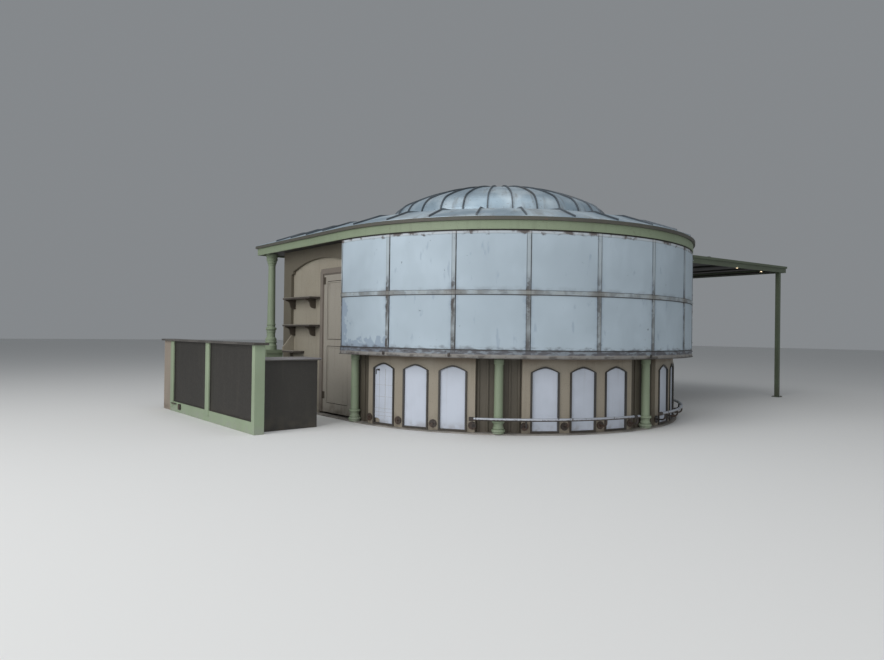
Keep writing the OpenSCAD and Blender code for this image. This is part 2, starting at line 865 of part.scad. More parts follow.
module foot_rail() {
    color(white) for (span = rail_spans) at_angle(span[0]) rotate_extrude(angle = span[1] - span[0]) {
        translate([wall_r + foot_off, foot_z]) circle(r = foot_tube);
    }
}

// A wall flange with a straight stub of a given length, standing out along +X
module rail_flange(stub) {
    rotate([0, 90, 0]) cylinder(r = flange_r, h = flange_t);
    rotate([0, 90, 0]) cylinder(r = arm_r, h = flange_t + stub);
}

// A whole bracket, from its flange to the underside of the tube
module rail_bracket() {
    reach = foot_off - seat;
    rail_flange(reach - bend_r - flange_t);
    translate([reach - bend_r, 0, bend_r]) rotate([90, 0, 0]) {
        rotate([0, 0, -90]) rotate_extrude(angle = 90) translate([bend_r, 0]) circle(r = arm_r);
    }
    translate([reach, 0, bend_r]) cylinder(r = arm_r, h = foot_z - foot_tube - flange_z - bend_r - seat);
}

// The first bay has lost its rail: only the flanges and broken stubs are left
module rail_brackets() {
    color(brown) for (i = [0 : bays - 1], k = [-1.5, -0.5, 0.5, 1.5]) {
        at_angle(-90 + bay_pitch * (i + 0.5) + k * arch_pitch) translate([wall_r + seat, 0, flange_z]) {
            if (i == 0) rail_flange(20);
            else rail_bracket();
        }
    }
}

module bar_frame() {
    color(sage) {
        for (y = bar_ys) translate([-bar_x, y, 0]) cube([bar_d, bar_post, bar_h - top_t]);
        translate([-bar_x, -bar_y0, 0]) cube([bar_d, bar_run, bar_rail]);
    }
}

module bar_panels() {
    color(brown) for (i = [0, 1]) translate([-bar_x + 20, bar_ys[i] + bar_post, bar_rail]) {
        cube([bar_d - 40, bar_ys[i + 1] - bar_ys[i] - bar_post, bar_h - top_t - bar_rail]);
    }
}

module bar_pier() {
    color(beige) translate([-bar_x + 5, -bar_y0 + bar_run, 0]) {
        cube([bar_d - 10, bar_pier_len, bar_h - top_t]);
    }
}

module low_bar() {
    color(brown) translate([-bar_x + bar_d, -bar_y0 + low_bar_in, 0]) {
        cube([low_bar_len, low_bar_d, low_bar_h - top_t]);
    }
}

module bar_tops() {
    color(brown) {
        translate([-bar_x - top_out, -bar_y0 - top_out, bar_h - top_t]) {
            cube([bar_d + 2 * top_out, bar_len + 2 * top_out, top_t]);
        }
        translate([-bar_x + bar_d, -bar_y0 + low_bar_in - top_out, low_bar_h - top_t]) {
            cube([low_bar_len + top_out, low_bar_d + 2 * top_out, top_t]);
        }
    }
}

floor_slab();
plinth();
bay_wall(0);  // bay_wall_1
bay_wall(1);  // bay_wall_2
bay_wall(2);  // bay_wall_3
bay_wall(3);  // bay_wall_4
arch_frames();
arch_panels();
pier_backs();
sill();
columns();
pedestals();
rear_columns();
wall_surrounds();
left_wall();
left_door_head();
right_wall();
rear_wall();
soffit();
fascia_front();
fascia_rear();
roof_edge();
skirt_front();
skirt_rear();
roof_deck();
roof_dome();
roof_seams();
drum_sheets();
cover_strips();
drum_rails();
door_frame();
door_leaf();
door_hinges();
shelves();
shelf_brackets();
canopy_roof();
canopy_fascia();
canopy_posts();
foot_rail();
rail_brackets();
bar_frame();
bar_panels();
bar_pier();
low_bar();
bar_tops();
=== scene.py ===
"""Dresses the round park kiosk: finishes, small fittings, camera and soft studio light.

Lengths are in metres. Turns on the round front are in degrees from the front towards +X.
"""

import logging
import math
from dataclasses import dataclass
from enum import Enum
from typing import Any, Callable, Iterable, Sequence, Union

import bmesh
import bpy
from mathutils import Euler, Matrix, Vector


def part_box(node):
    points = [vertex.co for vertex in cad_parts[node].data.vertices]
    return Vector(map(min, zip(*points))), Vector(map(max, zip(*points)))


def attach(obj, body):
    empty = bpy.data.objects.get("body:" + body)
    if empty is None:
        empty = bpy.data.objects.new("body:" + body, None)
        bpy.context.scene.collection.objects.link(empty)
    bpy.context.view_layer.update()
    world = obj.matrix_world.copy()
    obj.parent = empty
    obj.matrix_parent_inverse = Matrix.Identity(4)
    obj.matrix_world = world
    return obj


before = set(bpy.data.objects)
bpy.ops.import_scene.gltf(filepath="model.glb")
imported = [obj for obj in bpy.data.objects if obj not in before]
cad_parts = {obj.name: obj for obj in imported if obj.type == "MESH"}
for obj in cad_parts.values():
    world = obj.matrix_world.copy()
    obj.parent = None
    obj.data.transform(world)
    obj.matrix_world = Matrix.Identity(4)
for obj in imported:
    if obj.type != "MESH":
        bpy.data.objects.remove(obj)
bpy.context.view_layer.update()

LOG = logging.getLogger("kiosk")
Rgb = tuple[float, float, float]
Triple = tuple[float, float, float]
Pair = tuple[float, float]
Corners = tuple[Triple, Triple]
Settings = dict[Any, Any]
Number = Union["Value", float, int]

# The left end of the round front, then the widths of a bay of the low wall, an arch in it and a sheet.
LEFT = -90.0
BAY = 45.0
ARCH = 10.55
SHEET = 17.14


class Body(Enum):
    """The rigid bodies that a piece can ride on."""

    KIOSK = "kiosk"
    DOOR = "door"


class Value:
    """A number in a finish; Python operators on it add Math nodes."""

    def __init__(self, graph: "Graph", socket: bpy.types.NodeSocket) -> None:
        """Wraps an output socket.

        Args:
            graph: the graph that holds the socket.
            socket: the output socket that carries the number.
        """
        self.graph = graph
        self.socket = socket

    def __add__(self, other: Number) -> "Value":
        """Returns the sum."""
        return self.graph.math("ADD", self, other)

    def __sub__(self, other: Number) -> "Value":
        """Returns the difference."""
        return self.graph.math("SUBTRACT", self, other)

    def __rsub__(self, other: Number) -> "Value":
        """Returns the reflected difference."""
        return self.graph.math("SUBTRACT", other, self)

    def __mul__(self, other: Number) -> "Value":
        """Returns the product."""
        return self.graph.math("MULTIPLY", self, other)

    def __truediv__(self, other: Number) -> "Value":
        """Returns the quotient."""
        return self.graph.math("DIVIDE", self, other)

    def __abs__(self) -> "Value":
        """Returns the size of the number."""
        return self.graph.math("ABSOLUTE", self)

    def floor(self) -> "Value":
        """Returns the whole number below."""
        return self.graph.math("FLOOR", self)

    def fraction(self) -> "Value":
        """Returns what is left over the whole number below."""
        return self.graph.math("FRACT", self)

    def least(self, other: Number) -> "Value":
        """Returns the smaller of the two."""
        return self.graph.math("MINIMUM", self, other)

    def most(self, other: Number) -> "Value":
        """Returns the larger of the two."""
        return self.graph.math("MAXIMUM", self, other)

    def ease(self, low: float, high: float, start: float = 0.0, end: float = 1.0) -> "Value":
        """Turns the number smoothly from one value to another.

        Args:
            low: where the change starts.
            high: where the change ends; it may be less than low.
            start: the result at low.
            end: the result at high.

        Returns:
            The eased number, held at its ends.
        """
        if low > high:
            low, high, start, end = high, low, end, start
        settings = {"interpolation_type": "SMOOTHSTEP"}
        feeds = {"Value": self, "From Min": low, "From Max": high, "To Min": start, "To Max": end}
        return Value(self.graph, self.graph.node("ShaderNodeMapRange", settings, feeds).outputs["Result"])


class Graph:
    """The node tree of one finish, with the colour that it has reached so far."""

    def __init__(self, name: str, colour: Rgb) -> None:
        """Starts a material.

        Args:
            name: the material's name.
            colour: the colour that everything else is laid over.
        """
        self.colour: Any = colour
        self.material = bpy.data.materials.new(name)
        self.material.use_nodes = True
        self.tree = self.material.node_tree
        self.tree.nodes.clear()
        self.place = self.node("ShaderNodeTexCoord").outputs["Object"]
        parts = self.node("ShaderNodeSeparateXYZ", {}, {0: self.place})
        self.x, self.y, self.z = (Value(self, parts.outputs[i]) for i in range(3))

    def node(self, kind: str, settings: Settings | None = None, feeds: Settings | None = None) -> Any:
        """Adds a node.

        Args:
            kind: the node's type.
            settings: its properties, set first.
            feeds: values or links for its input sockets, by name or number.

        Returns:
            The new node.
        """
        node = self.tree.nodes.new(kind)
        for key, value in (settings or {}).items():
            setattr(node, key, value)
        for key, value in (feeds or {}).items():
            socket = node.inputs[key]
            if isinstance(value, Value):
                self.tree.links.new(value.socket, socket)
            elif isinstance(value, bpy.types.NodeSocket):
                self.tree.links.new(value, socket)
            elif isinstance(value, tuple) and socket.type == "RGBA":
                socket.default_value = (*value, 1.0)
            else:
                socket.default_value = value
        return node

    def math(self, operation: str, *numbers: Number) -> Value:
        """Adds a Math node.

        Args:
            operation: the node's operation.
            numbers: its inputs in order.

        Returns:
            Its result.
        """
        node = self.node("ShaderNodeMath", {"operation": operation}, dict(enumerate(numbers)))
        return Value(self, node.outputs[0])

    def noise(
        self, scale: float, detail: float = 3.0, stretch: Triple = (1, 1, 1), shift: float = 0.0
    ) -> Value:
        """Adds a noise that follows the object's own coordinates.

        Args:
            scale: spots to the metre.
            detail: octaves.
            stretch: how much denser the noise is along each axis.
            shift: moves the pattern, so that two noises differ.

        Returns:
            The noise, about 0 to 1 with its middle at 0.5.
        """
        feeds = {0: self.place, 1: stretch, 2: (shift, shift * 0.7, shift * 1.3)}
        where = self.node("ShaderNodeVectorMath", {"operation": "MULTIPLY_ADD"}, feeds).outputs[0]
        return self.noise_on(where, scale, detail)

    def noise_on(self, where: Any, scale: float, detail: float) -> Value:
        """Adds a noise over the coordinates that a socket gives."""
        node = self.node("ShaderNodeTexNoise", {}, {"Vector": where, "Scale": scale, "Detail": detail})
        return Value(self, node.outputs[0])

    def turn(self) -> Value:
        """Returns the angle round the vertical axis in radians, from the front towards +X."""
        return self.math("ARCTAN2", self.x, self.y * -1.0)

    def lay(self, share: Number, colour: Rgb) -> None:
        """Lays a colour over the colour so far.

        Args:
            share: how much of it shows.
            colour: the colour.
        """
        settings = {"data_type": "RGBA", "clamp_factor": True}
        feeds = {0: share, 6: self.colour, 7: colour}
        self.colour = self.node("ShaderNodeMix", settings, feeds).outputs[2]

    def finish(self, rough: Number, height: Value | None, depth: float, **fixed: Any) -> Any:
        """Adds the shader and closes the material.

        Args:
            rough: the roughness.
            height: relief for the bump, or None for a smooth surface.
            depth: the relief's depth.
            fixed: values for the shader's other sockets, with _ for a space.

        Returns:
            The material.
        """
        feeds: Settings = {"Base Color": self.colour, "Roughness": rough}
        if height is not None:
            bump = self.node("ShaderNodeBump", {}, {"Strength": 1.0, "Distance": depth, "Height": height})
            feeds["Normal"] = bump.outputs[0]
        feeds.update({key.replace("_", " "): value for key, value in fixed.items()})
        shader = self.node("ShaderNodeBsdfPrincipled", {}, feeds)
        self.node("ShaderNodeOutputMaterial", {}, {"Surface": shader.outputs[0]})
        return self.material


@dataclass(frozen=True)
class Paint:
    """Old brushed paint on boards, posts and plates, patchy, streaked and splashed near the ground."""

    name: str
    colour: Rgb
    shade: Rgb
    dirt: Rgb = (0.07, 0.055, 0.04)
    rough: float = 0.62
    splash: float = 0.3
    streaks: float = 0.12
    patches: float = 0.5
    chips: float = 0.0
    grain: float = 0.0006
    stained: float = 0.0
    bare: Rgb = (0.11, 0.075, 0.05)
    drip: Rgb = (0.13, 0.085, 0.05)

    def make(self) -> Any:
        """Returns the paint's material."""
        g = Graph(self.name, self.colour)
        broad = g.noise(1.7, 4).ease(0.38, 0.66)
        g.lay(broad * self.patches, self.shade)
        runs = g.noise(2.0, 5, (9.0, 9.0, 0.7), 3.1).ease(0.52, 0.72) * self.streaks
        g.lay(runs, self.dirt)
        fine = g.noise(38.0, 4, shift=1.7)
        low = g.z.ease(self.splash, 0.02) * g.noise(7.0, 5, shift=5.3).ease(0.36, 0.66)
        g.lay(low * 0.6, self.dirt)
        specks = g.noise(95.0, 2, shift=8.0).ease(0.63, 0.7) * 0.35
        g.lay(specks, self.dirt)
        chipped = g.noise(16.0, 6, shift=9.4).ease(0.67, 0.7) * self.chips
        g.lay(chipped, self.bare)
        if self.stained:
            drips = (g.z + (runs + broad) * 0.04).ease(self.stained - 0.1, self.stained)
            g.lay(drips * 0.6, self.drip)
        rough = fine * 0.2 + (self.rough - 0.1) + low * 0.15
        return g.finish(rough, fine - chipped * 0.8, self.grain)


@dataclass(frozen=True)
class DrumSheet:
    """Pale galvanised sheet on the drum: soft smears, with rust and grime along the joints and the rails, and
    painted shadow above the sheets' top.
    """

    name: str = "sheet_steel"
    radius: float = 3.11
    joint: float = 1.787
    strip: float = 0.025
    rail: float = 0.028
    foot: float = 1.075
    top: float = 2.547
    pale: Rgb = (0.42, 0.502, 0.568)
    dull: Rgb = (0.33, 0.398, 0.452)
    wash: Rgb = (0.235, 0.295, 0.375)
    bare: Rgb = (0.26, 0.275, 0.265)
    soot: Rgb = (0.085, 0.085, 0.095)
    rust: Rgb = (0.042, 0.034, 0.029)
    line: Rgb = (0.022, 0.02, 0.018)
    tan: Rgb = (0.16, 0.12, 0.085)
    brown: Rgb = (0.07, 0.048, 0.038)
    hem: Rgb = (0.5, 0.475, 0.465)
    lip: Rgb = (0.25, 0.235, 0.215)

    def make(self) -> Any:
        """Returns the sheets' material."""
        g = Graph(self.name, self.pale)
        step = (g.turn() * (180 / math.pi) - LEFT) / SHEET
        level = g.z - self.joint
        over = g.z - self.foot
        number = step.floor() * 1.37 + level.ease(-0.001, 0.001) * 5.11
        white = g.node("ShaderNodeTexWhiteNoise", {"noise_dimensions": "1D"}, {"W": number})
        ragged = g.noise(11.0, 6, shift=4.0)
        rag = ragged - 0.5
        self._sheet(g, Value(g, white.outputs[0]))
        wet = step.least(abs(over) * 1.3 + 0.02) + rag * 0.5
        wet = wet.ease(0.17, 0.13) * step.ease(1.0, 0.97) * level.ease(0.0, -0.1)
        g.lay(wet * 0.75, self.wash)
        self._joints(g, step, level, over, ragged)
        self._rails(g, level, over, ragged)
        down = self.top - g.z + rag * 0.012
        g.lay(down.ease(0.034, 0.026) * (ragged * 0.5 + 0.1), self.hem)
        g.lay(abs(down - 0.032).ease(0.006, 0.002) * 0.3, self.line)
        eaves = (down + rag * 0.11).ease(0.045, 0.022) * g.noise(6.5, 6, shift=7.7).ease(0.47, 0.6)
        g.lay(eaves * 0.85, self.brown)
        dots = g.noise(15.0, 6, shift=12.0).ease(0.72, 0.76) * 0.5
        g.lay(dots * 0.85, self.rust)
        rusty = eaves.most(dots)
        # Painted shadow: everything above the sheets' top, the rail in the gap under the fascia, is painted
        # near black.
        g.lay((g.z - self.top).ease(-0.001, 0.001), self.line)
        sag = g.noise(2.2, 2, shift=11.0) * 3.0 + g.noise(55.0, 3) * 0.1
        return g.finish(rusty * 0.25 + 0.6, sag + rusty * 0.3, 0.0035, Metallic=0.1)

    def _sheet(self, g: Graph, own: Value) -> None:
        """Clouds the plain sheet.

        Args:
            g: the finish's graph.
            own: a number from 0 to 1 that differs from sheet to sheet.
        """
        cloud = g.noise(1.1, 3, shift=2.2) + own * 0.16
        g.lay(cloud.ease(0.38, 0.8) * 0.75, self.dull)
        smears = g.noise(2.6, 5, (1.3, 1.3, 0.6), 6.5).ease(0.48, 0.72)
        g.lay(smears * 0.4, self.dull)
        scrapes = g.noise(2.9, 4, (3.0, 3.0, 1.0), 15.0).ease(0.64, 0.71)
        g.lay(scrapes * 0.45, self.wash)

    def _joints(self, g: Graph, step: Value, level: Value, over: Value, ragged: Value) -> None:
        """Greys the cover strips, lines their edges and gathers grime where they meet the rails.

        Args:
            g: the finish's graph.
            step: how many sheets lie to the left, with its fraction.
            level: height over the middle rail.
            over: height over the bottom rail.
            ragged: the noise that breaks the edges up.
        """
        rag = ragged - 0.5
        across = ((step + 0.5).fraction() - 0.5) * (math.radians(SHEET) * self.radius)
        near = (level.ease(0.3, 0.06) * level.ease(-0.6, -0.15)).most(over.ease(0.34, 0.06))
        g.lay(abs(across + rag * 0.12).ease(0.085, 0.02) * near * 0.45, self.wash)
        band = abs(across + rag * 0.012).ease(self.strip + 0.003, self.strip - 0.003)
        g.lay(band * (level.ease(0.1, -0.1) * 0.25 + 0.35), self.bare)
        grime = abs(across + 0.004 + rag * 0.06).ease(0.034, 0.012) * near * ragged.ease(0.34, 0.52)
        g.lay(grime * step.ease(2.6, 3.4, 0.9, 0.62), self.rust)
        crossing = abs(level + rag * 0.02).ease(self.rail + 0.02, self.rail)
        knot = abs(across + rag * 0.1).ease(0.2, 0.05) * crossing
        g.lay(knot * 0.55, self.tan)
        right = abs(across - self.strip - 0.001).ease(0.01, 0.004) * 0.9
        left = abs(across + self.strip + 0.001).ease(0.007, 0.002) * 0.55
        lines = right.most(left) * g.noise(4.0, 3, shift=6.0).ease(0.3, 0.55, 0.55, 1.0)
        g.lay(lines, self.line)

    def _rails(self, g: Graph, level: Value, over: Value, ragged: Value) -> None:
        """Weathers the middle rail, the bottom rail and the foot of the sheets.

        Args:
            g: the finish's graph.
            level: height over the middle rail.
            over: height over the bottom rail.
            ragged: the noise that breaks the edges up.
        """
        rag = ragged - 0.5
        blots = g.noise(5.0, 5, shift=9.0).ease(0.44, 0.6)
        haze = abs(level - 0.02 + rag * 0.05).ease(0.07, 0.02) * blots
        g.lay(haze * 0.2, self.soot)
        rail = abs(level + rag * 0.01).ease(self.rail + 0.003, self.rail - 0.003)
        g.lay(rail * (ragged.ease(0.38, 0.58) * 0.25 + 0.38), self.bare)
        g.lay(rail * blots * 0.3, self.rust)
        upper = abs(level - self.rail + rag * 0.01).ease(0.008, 0.002) * 0.55
        lower = abs(level + self.rail).ease(0.009, 0.003) * 0.85
        g.lay(upper.most(lower), self.line)
        spots = g.noise(9.0, 6, (1.0, 1.0, 3.0), 2.0).ease(0.4, 0.6)
        tide = (over - rag * 0.12).ease(0.05, 0.0) * spots
        g.lay(tide * 0.7, self.soot)
        g.lay(over.ease(0.004, -0.002) * (spots * 0.3 + 0.62), self.soot)
        g.lay((over + 0.052 + rag * 0.02).ease(0.0, -0.01) * 0.8, self.lip)
        worn = (over + 0.06).ease(0.0, -0.02) * g.noise(6.0, 5, shift=3.3).ease(0.48, 0.6)
        g.lay(worn * 0.6, self.rust)
        crest = abs(over + 0.002).ease(0.012, 0.004) * 0.8
        g.lay(crest.most((over + 0.1).ease(0.006, 0.0) * 0.6), self.line)


@dataclass(frozen=True)
class Zinc:
    """Weathered roof sheet, cloudy and streaked down the slope."""

    name: str
    colour: Rgb
    pale: Rgb
    dirt: Rgb = (0.12, 0.095, 0.075)
    dirty: float = 0.5
    metal: float = 0.45

    def make(self) -> Any:
        """Returns the sheet's material."""
        g = Graph(self.name, self.colour)
        out = g.math("SQRT", g.x * g.x + g.y * g.y)
        polar = g.node("ShaderNodeCombineXYZ", {}, {0: g.turn() * 9.0, 1: out * 0.9, 2: g.z}).outputs[0]
        runs = g.noise_on(polar, 2.2, 5.0)
        cloud = g.noise(2.3, 5, shift=3.0)
        g.lay(cloud.ease(0.36, 0.66), self.pale)
        stained = (runs * 0.7 + cloud * 0.3).ease(0.5, 0.68) * self.dirty
        g.lay(stained, self.dirt)
        fine = g.noise(60.0, 3)
        g.lay(g.noise(26.0, 5, shift=6.0).ease(0.62, 0.7) * 0.4, self.dirt)
        rough = cloud * 0.3 + 0.3 + stained * 0.25
        return g.finish(rough, cloud * 2.0 + fine * 0.15, 0.003, Metallic=self.metal)


@dataclass(frozen=True)
class Board:
    """White panel board, greyed by dust, with dirt at its foot."""

    name: str = "white_panel"
    colour: Rgb = (0.53, 0.575, 0.66)
    dull: Rgb = (0.45, 0.49, 0.56)
    soot: Rgb = (0.3, 0.3, 0.3)
    mud: Rgb = (0.2, 0.17, 0.14)

    def make(self) -> Any:
        """Returns the board's material."""
        g = Graph(self.name, self.colour)
        g.lay(g.noise(2.1, 4).ease(0.4, 0.66) * 0.6, self.dull)
        runs = g.noise(4.0, 5, (8.0, 8.0, 0.4), 2.0).ease(0.55, 0.78) * 0.14
        g.lay(runs, self.soot)
        low = g.z.ease(0.16, 0.03) * g.noise(10.0, 4, shift=4.0).ease(0.4, 0.66)
        g.lay(low * 0.4, self.mud)
        fine = g.noise(70.0, 3)
        return g.finish(fine * 0.15 + 0.42, fine, 0.0003)


@dataclass(frozen=True)
class Concrete:
    """Cast concrete with pits and damp patches."""

    name: str = "concrete"
    colour: Rgb = (0.28, 0.26, 0.235)
    damp: Rgb = (0.15, 0.14, 0.125)
    sand: Rgb = (0.4, 0.38, 0.35)

    def make(self) -> Any:
        """Returns the concrete's material."""
        g = Graph(self.name, self.colour)
        g.lay(g.noise(3.0, 6).ease(0.4, 0.65), self.damp)
        grit = g.noise(140.0, 4, shift=2.0)
        g.lay(grit.ease(0.4, 0.7) * 0.35, self.sand)
        return g.finish(grit * 0.2 + 0.72, grit, 0.002)


@dataclass(frozen=True)
class Tube:
    """Worn steel tube with rust spots, darkened below its middle as painted shade, so it is bright along its
    top.
    """

    name: str = "rail_metal"
    colour: Rgb = (0.46, 0.49, 0.54)
    dark: Rgb = (0.07, 0.055, 0.045)
    centre: float = 0.205

    def make(self) -> Any:
        """Returns the tube's material."""
        g = Graph(self.name, self.colour)
        rag = g.noise(30.0, 4) - 0.5
        # Painted shade: below the tube's centre it turns dark; the rust spots are laid with it.
        under = (g.z + rag * 0.02).ease(self.centre + 0.004, self.centre - 0.01)
        spots = g.noise(24.0, 5, shift=3.0).ease(0.6, 0.68) * 0.7
        g.lay(under.most(spots), self.dark)
        fine = g.noise(150.0, 3)
        return g.finish(fine * 0.2 + 0.32 + spots * 0.3, fine, 0.0003, Metallic=0.55)


@dataclass(frozen=True)
class Lamp:
    """Warm frosted glass of a lit lamp."""

    name: str = "lamp_glass"
    colour: Rgb = (1.0, 0.86, 0.6)
    warm: Rgb = (1.0, 0.72, 0.42)
    power: float = 2.5

    def make(self) -> Any:
        """Returns the glass's material."""
        g = Graph(self.name, self.colour)
        frost = g.noise(400.0, 3)
        g.lay(frost.ease(0.35, 0.65), self.warm)
        fixed = {"Emission_Color": g.colour, "Emission_Strength": self.power}
        return g.finish(frost * 0.2 + 0.3, frost, 0.0002, **fixed)


class Palette:
    """Every finish of the kiosk, made once and handed out by its name."""

    def __init__(self) -> None:
        """Makes all the materials."""
        dust = (0.12, 0.1, 0.08)
        chalk = (0.3, 0.32, 0.27)
        mud = (0.08, 0.07, 0.055)
        finishes = [
            Concrete(),
            DrumSheet(),
            Board(),
            Tube(),
            Lamp(),
            Zinc("zinc", (0.3, 0.39, 0.46), (0.48, 0.57, 0.63), dirty=0.45),
            Zinc("seam_zinc", (0.085, 0.1, 0.115), (0.13, 0.15, 0.17), dirty=0.3),
            Paint("wall_beige", (0.3, 0.265, 0.21), (0.265, 0.23, 0.175), stained=0.99),
            Paint("wall_sand", (0.325, 0.295, 0.235), (0.28, 0.25, 0.195)),
            # Taupe paint of the wall surrounds, made darker as painted shade under the eaves.
            Paint("wall_taupe_and_shade", (0.125, 0.11, 0.08), (0.105, 0.09, 0.065)),
            Paint("casing", (0.2, 0.172, 0.145), (0.17, 0.145, 0.12)),
            Paint("door_beige", (0.33, 0.305, 0.26), (0.29, 0.265, 0.225)),
            Paint("shelf_top", (0.3, 0.285, 0.25), (0.2, 0.18, 0.15), (0.1, 0.085, 0.065), streaks=0.4),
            Paint("bracket_brown", (0.06, 0.047, 0.035), (0.085, 0.07, 0.05), dust),
            Paint("dark_frame", (0.035, 0.033, 0.03), (0.055, 0.048, 0.04), rough=0.5, grain=0.0003),
            Paint("dark_brown", (0.062, 0.052, 0.042), (0.045, 0.036, 0.03), dust),
            Paint("pier_brown", (0.095, 0.082, 0.06), (0.065, 0.055, 0.04), dust, streaks=0.35),
            Paint("sage_green", (0.215, 0.265, 0.175), (0.185, 0.225, 0.145), chips=0.25, rough=0.55),
            Paint("sage_post", (0.23, 0.285, 0.19), (0.2, 0.24, 0.16), chalk, splash=0.2, chips=0.15),
            # Canopy green: the sage green darkened as painted shade, as the canopy stands in the trees'
            # shade.
            Paint("canopy_green_and_shade", (0.105, 0.13, 0.085), (0.085, 0.1, 0.065), chips=0.2, rough=0.55),
            Paint("roof_edge", (0.075, 0.074, 0.06), (0.055, 0.05, 0.04), (0.14, 0.1, 0.07), chips=0.6),
            # Soffit: a dark brown underside, made near black as painted shade.
            Paint("soffit", (0.02, 0.018, 0.016), (0.03, 0.026, 0.022), (0.05, 0.045, 0.04)),
            Paint("pier_sand", (0.28, 0.235, 0.19), (0.24, 0.205, 0.165)),
            Paint("bar_green", (0.27, 0.335, 0.225), (0.235, 0.285, 0.19), chalk, splash=0.15, chips=0.15),
            Paint("bar_board", (0.025, 0.0222, 0.0185), (0.02, 0.0178, 0.015), mud, streaks=0.15),
            Paint("bar_top", (0.05, 0.045, 0.04), (0.12, 0.11, 0.1), (0.18, 0.15, 0.11), 0.4, splash=0.1),
            Paint("counter_board", (0.037, 0.034, 0.029), (0.03, 0.0275, 0.024), mud, streaks=0.15),
            Paint("counter_grey", (0.26, 0.25, 0.255), (0.2, 0.19, 0.195), rough=0.45, splash=0.1),
            Paint("iron", (0.03, 0.028, 0.026), (0.06, 0.04, 0.028), (0.1, 0.05, 0.028), 0.45, chips=0.9),
        ]
        self._made = {finish.name: finish.make() for finish in finishes}

    def __getitem__(self, name: str) -> Any:
        """Returns the material of that name."""
        return self._made[name]


def every(item: Any) -> bool:
    """Wants every face, edge or vertex."""
    return True


